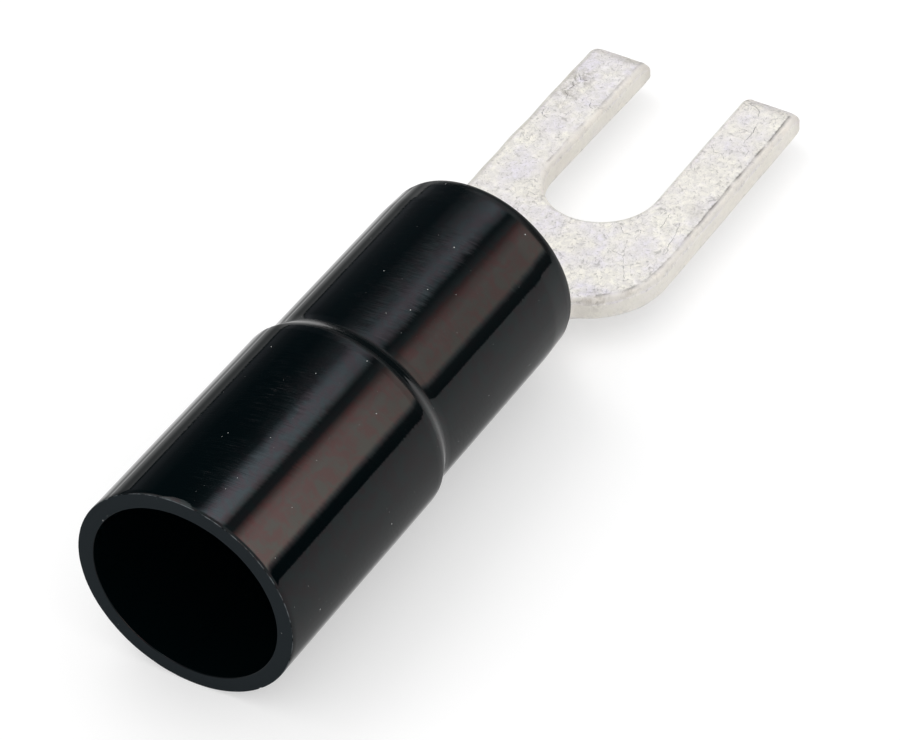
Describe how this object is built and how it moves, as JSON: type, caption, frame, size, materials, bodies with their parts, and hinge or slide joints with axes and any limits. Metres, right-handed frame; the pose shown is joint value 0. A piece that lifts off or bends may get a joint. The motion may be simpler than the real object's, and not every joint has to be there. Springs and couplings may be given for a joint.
{
  "type": "fork terminal",
  "caption": "Crimp fork terminal: flat tinned two-prong tongue, round wire barrel and a stepped black insulating sleeve over the barrel.",
  "frame": {"origin": "centre of the round end of the screw slot, on the underside of the tongue", "axes": "+X along the wire axis from the sleeve's mouth towards the prong tips, +Z out of the tongue's upper face, +Y to the left seen from the mouth"},
  "size_m": [0.0433, 0.0114, 0.0104],
  "materials": {
    "tinned_copper": "electro-tinned copper sheet, satin",
    "black_pvc": "moulded soft PVC, glossy black"
  },
  "bodies": {
    "root": {"fork_terminal": "tinned_copper", "insulating_sleeve": "black_pvc"}
  },
  "joints": []
}
